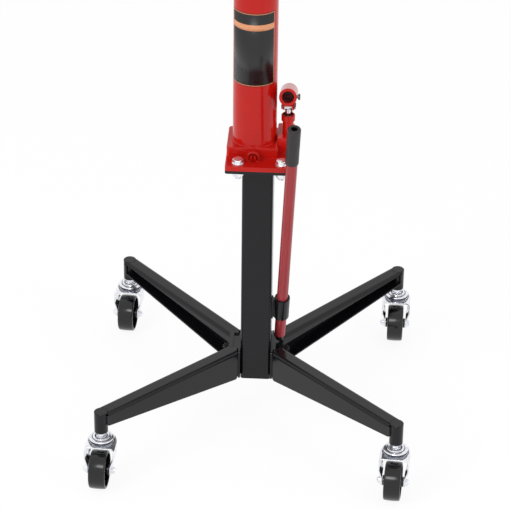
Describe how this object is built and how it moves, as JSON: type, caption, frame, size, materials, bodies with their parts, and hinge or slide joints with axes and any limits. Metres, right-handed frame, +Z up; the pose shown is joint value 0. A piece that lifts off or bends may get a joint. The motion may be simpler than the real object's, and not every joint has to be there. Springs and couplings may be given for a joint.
{
  "type": "transmission jack",
  "caption": "Telescoping hydraulic transmission jack: cross-legged castored base, square column, hand pump, extending rams and a tilting saddle with swing arms.",
  "frame": {"origin": "on the floor under the axis of the square column, at the centre of the four caster stems", "axes": "+Z up along the column, -Y to the front where the release valve faces the operator, +X to the side that carries the pump"},
  "size_m": [0.6259, 0.6596, 1.1784],
  "materials": {
    "black_paint": "gloss",
    "red_paint": "gloss",
    "arm_paint": "gloss",
    "handle_paint": "gloss",
    "zinc_plate": "satin",
    "hard_chrome": "polished",
    "dark_steel": "satin",
    "wheel_plastic": "gloss",
    "seal_rubber": "matt",
    "grip_rubber": "matt",
    "knob_plastic": "matt",
    "label_black": "satin",
    "label_orange": "satin"
  },
  "bodies": {
    "base": {"column_tube": "black_paint", "column_top_plate": "black_paint", "leg_front_left": "black_paint", "leg_front_right": "black_paint", "leg_back_left": "black_paint", "leg_back_right": "black_paint", "hub_plates": "black_paint", "hub_spacers": "black_paint", "hub_bolts": "black_paint", "caster_sockets": "black_paint", "caster_stems": "zinc_plate", "caster_races": "zinc_plate", "base_casting": "red_paint", "flange_bolts": "zinc_plate", "flange_nuts": "zinc_plate", "flange_washers": "zinc_plate", "reservoir_tube": "red_paint", "filler_plug": "zinc_plate", "pressure_cylinder": "dark_steel", "tube_gland_nut": "red_paint", "pump_cylinder": "red_paint", "fulcrum_post": "zinc_plate", "fulcrum_pin": "dark_steel", "handle_clip": "black_paint"},
    "ram_one": {"ram_outer": "hard_chrome", "outer_piston_seal": "seal_rubber", "ram_outer_gland": "dark_steel"},
    "ram_two": {"ram_inner": "hard_chrome", "inner_piston_seal": "seal_rubber"},
    "swivel": {"swivel_head": "red_paint", "tilt_pin": "zinc_plate"},
    "tilt": {"tilt_frame": "red_paint", "side_pin": "zinc_plate"},
    "saddle": {"saddle_plate": "red_paint", "arm_bolts": "zinc_plate"},
    "knob_front": {"lock_knob_side": "knob_plastic"},
    "knob_right": {"lock_knob_fore_aft": "knob_plastic"},
    "valve": {"release_valve": "red_paint"},
    "plunger": {"pump_piston": "hard_chrome"},
    "lever": {"handle_socket": "red_paint", "piston_pin": "dark_steel"},
    "thumb_screw": {"socket_thumb_screw": "dark_steel"},
    "handle": {"handle_tube": "handle_paint", "handle_grip": "grip_rubber"},
    "arm_front_left": {"saddle_arm_front_left": "arm_paint"},
    "fork_front_left": {"caster_fork_front_left": "zinc_plate", "caster_axle_front_left": "zinc_plate"},
    "wheel_front_left": {"caster_wheel_front_left": "wheel_plastic"},
    "arm_front_right": {"saddle_arm_front_right": "arm_paint"},
    "fork_front_right": {"caster_fork_front_right": "zinc_plate", "caster_axle_front_right": "zinc_plate"},
    "wheel_front_right": {"caster_wheel_front_right": "wheel_plastic"},
    "arm_back_left": {"saddle_arm_back_left": "arm_paint"},
    "fork_back_left": {"caster_fork_back_left": "zinc_plate", "caster_axle_back_left": "zinc_plate"},
    "wheel_back_left": {"caster_wheel_back_left": "wheel_plastic"},
    "arm_back_right": {"saddle_arm_back_right": "arm_paint"},
    "fork_back_right": {"caster_fork_back_right": "zinc_plate", "caster_axle_back_right": "zinc_plate"},
    "wheel_back_right": {"caster_wheel_back_right": "wheel_plastic"}
  },
  "joints": [
    {"name": "ram_one_lift", "type": "slide", "parent": "base", "child": "ram_one", "axis": [0, 0, 1], "range_m": [0, 0.355]},
    {"name": "ram_two_lift", "type": "slide", "parent": "ram_one", "child": "ram_two", "axis": [0, 0, 1], "range_m": [0, 0.3666]},
    {"name": "saddle_swivel", "type": "hinge", "parent": "ram_two", "child": "swivel", "pos_m": [-0.008, 0, 1.054], "axis": [0, 0, 1], "continuous": true},
    {"name": "saddle_tilt_fore_aft", "type": "hinge", "parent": "swivel", "child": "tilt", "pos_m": [-0.008, 0, 1.094], "axis": [1, 0, 0], "range_deg": [-25, 25]},
    {"name": "saddle_tilt_side", "type": "hinge", "parent": "tilt", "child": "saddle", "pos_m": [-0.008, 0, 1.116], "axis": [0, 1, 0], "range_deg": [-15, 15]},
    {"name": "lock_knob_fore_aft_turn", "type": "hinge", "parent": "swivel", "child": "knob_right", "pos_m": [0.029, 0, 1.094], "axis": [1, 0, 0], "range_deg": [0, 180]},
    {"name": "lock_knob_side_turn", "type": "hinge", "parent": "tilt", "child": "knob_front", "pos_m": [-0.008, -0.038, 1.116], "axis": [0, -1, 0], "range_deg": [0, 180]},
    {"name": "arm_swing_front_left", "type": "hinge", "parent": "saddle", "child": "arm_front_left", "pos_m": [-0.1, -0.062, 1.133], "axis": [0, 0, 1], "range_deg": [-25, 35]},
    {"name": "arm_swing_front_right", "type": "hinge", "parent": "saddle", "child": "arm_front_right", "pos_m": [0.084, -0.062, 1.133], "axis": [0, 0, 1], "range_deg": [-35, 25]},
    {"name": "arm_swing_back_left", "type": "hinge", "parent": "saddle", "child": "arm_back_left", "pos_m": [-0.1, 0.062, 1.133], "axis": [0, 0, 1], "range_deg": [-35, 25]},
    {"name": "arm_swing_back_right", "type": "hinge", "parent": "saddle", "child": "arm_back_right", "pos_m": [0.084, 0.062, 1.133], "axis": [0, 0, 1], "range_deg": [-25, 35]},
    {"name": "lever_pump", "type": "hinge", "parent": "base", "child": "lever", "pos_m": [0.055, 0.03, 0.65895], "axis": [-1, 0, 0], "range_deg": [0, 26]},
    {"name": "plunger_slide", "type": "slide", "parent": "base", "child": "plunger", "axis": [0, 0, 1], "range_m": [0, 0.01257]},
    {"name": "thumb_screw_turn", "type": "hinge", "parent": "lever", "child": "thumb_screw", "pos_m": [0.0717, -0.02668, 0.705], "axis": [1, 0, 0], "range_deg": [0, 180]},
    {"name": "release_valve_turn", "type": "hinge", "parent": "base", "child": "valve", "pos_m": [-0.008, -0.0437, 0.588], "axis": [0, -1, 0], "range_deg": [0, 180]},
    {"name": "handle_lift_out", "type": "slide", "parent": "base", "child": "handle", "axis": [0.0445, -0.2344, 0.9711], "range_m": [0, 0.12]},
    {"name": "caster_swivel_front_left", "type": "hinge", "parent": "base", "child": "fork_front_left", "pos_m": [-0.281, -0.281, 0.086], "axis": [0, 0, 1], "continuous": true},
    {"name": "wheel_spin_front_left", "type": "hinge", "parent": "fork_front_left", "child": "wheel_front_left", "pos_m": [-0.28309, -0.31093, 0.038], "axis": [0.9976, -0.0698, 0], "continuous": true},
    {"name": "caster_swivel_front_right", "type": "hinge", "parent": "base", "child": "fork_front_right", "pos_m": [0.281, -0.281, 0.086], "axis": [0, 0, 1], "continuous": true},
    {"name": "wheel_spin_front_right", "type": "hinge", "parent": "fork_front_right", "child": "wheel_front_right", "pos_m": [0.27839, -0.31089, 0.038], "axis": [0.9962, -0.0872, 0], "continuous": true},
    {"name": "caster_swivel_back_left", "type": "hinge", "parent": "base", "child": "fork_back_left", "pos_m": [-0.281, 0.281, 0.086], "axis": [0, 0, 1], "continuous": true},
    {"name": "wheel_spin_back_left", "type": "hinge", "parent": "fork_back_left", "child": "wheel_back_left", "pos_m": [-0.28361, 0.25111, 0.038], "axis": [0.9962, -0.0872, 0], "continuous": true},
    {"name": "caster_swivel_back_right", "type": "hinge", "parent": "base", "child": "fork_back_right", "pos_m": [0.281, 0.281, 0.086], "axis": [0, 0, 1], "continuous": true},
    {"name": "wheel_spin_back_right", "type": "hinge", "parent": "fork_back_right", "child": "wheel_back_right", "pos_m": [0.27995, 0.25102, 0.038], "axis": [0.9994, -0.0349, 0], "continuous": true}
  ],
  "couplings": [
    {"joint": "plunger_slide", "follows": "lever_pump", "m_per_rad": 0.02727}
  ]
}
